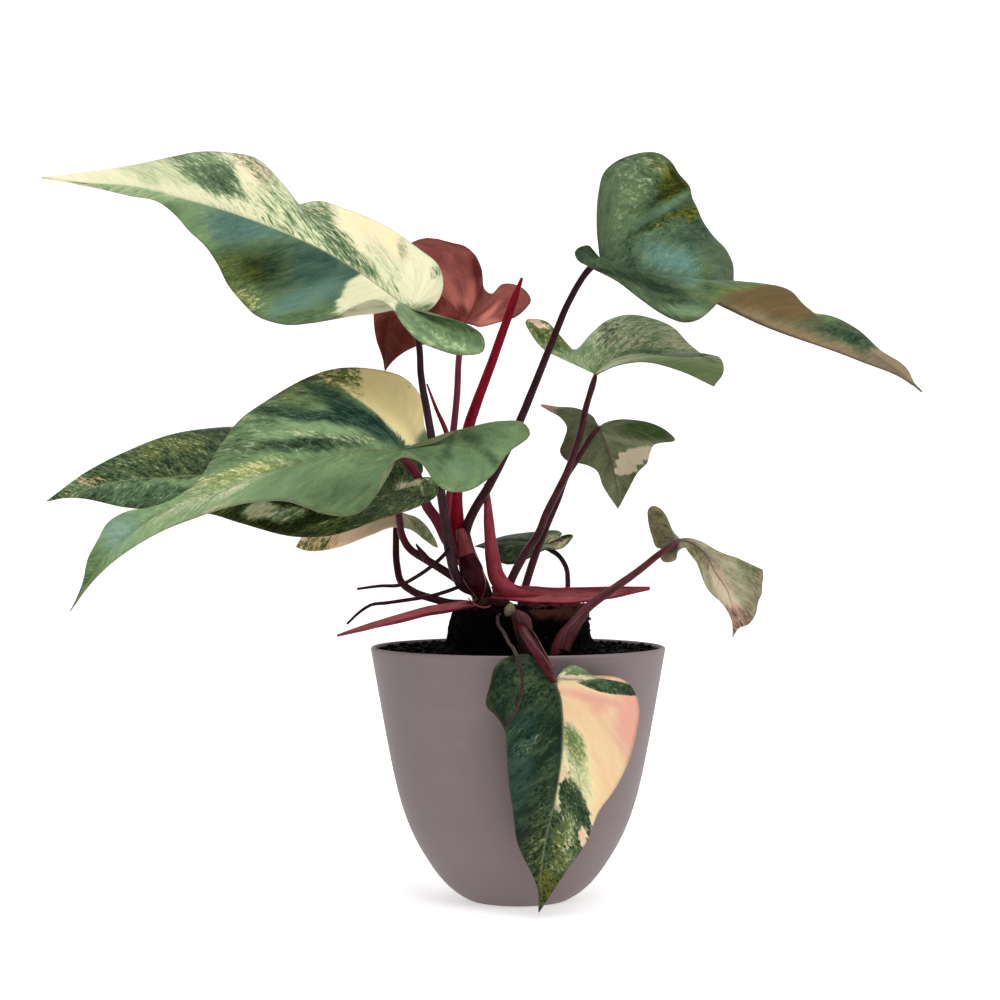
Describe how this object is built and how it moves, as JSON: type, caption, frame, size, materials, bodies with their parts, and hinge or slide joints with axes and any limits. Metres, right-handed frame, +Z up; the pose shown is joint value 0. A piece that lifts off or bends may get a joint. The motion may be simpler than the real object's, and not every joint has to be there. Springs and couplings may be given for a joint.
{
  "type": "potted plant",
  "caption": "Potted climbing houseplant with long heart-shaped variegated leaves on dark red stalks, in a round tapered pot that stands flat.",
  "frame": {"origin": "centre of the pot's flat base", "axes": "+Z up along the pot's axis, +X to the right and -Y to the front of the plant, where the hanging leaf is"},
  "size_m": [0.4623, 0.1747, 0.3874],
  "materials": {
    "pot": "matte taupe plastic",
    "soil": "dark crumbly potting mix",
    "leaf": "waxy green marbled with cream and pink",
    "young_leaf": "satin reddish brown",
    "stalk": "satin dark red",
    "sheath": "satin pink red",
    "stem": "rough brown red",
    "root": "dull dark brown"
  },
  "bodies": {
    "root": {"pot": "pot", "soil": "soil", "leaf_upper_left": "leaf", "leaf_middle_left": "leaf", "leaf_lower_left": "leaf", "leaf_pink_low_left": "leaf", "leaf_young_red": "young_leaf", "leaf_upper_right": "leaf", "leaf_arched_right": "leaf", "leaf_hanging_right": "leaf", "leaf_low_right": "leaf", "leaf_small_back": "leaf", "leaf_front": "leaf", "petiole_upper_left": "stalk", "petiole_middle_left": "stalk", "petiole_lower_left": "stalk", "petiole_small_left": "stalk", "petiole_young_red": "stalk", "petiole_upper_right": "stalk", "petiole_right": "stalk", "petiole_right_hanging": "stalk", "petiole_low_right": "stalk", "petiole_small_back": "stalk", "petiole_front": "stalk", "main_stem": "stem", "side_shoot": "stem", "spear_tall": "sheath", "spear_short": "sheath", "sheath_left": "sheath", "sheath_right": "sheath", "sheath_upright": "sheath", "root_upper": "root", "root_lower": "root", "root_hanging": "root"}
  },
  "joints": []
}
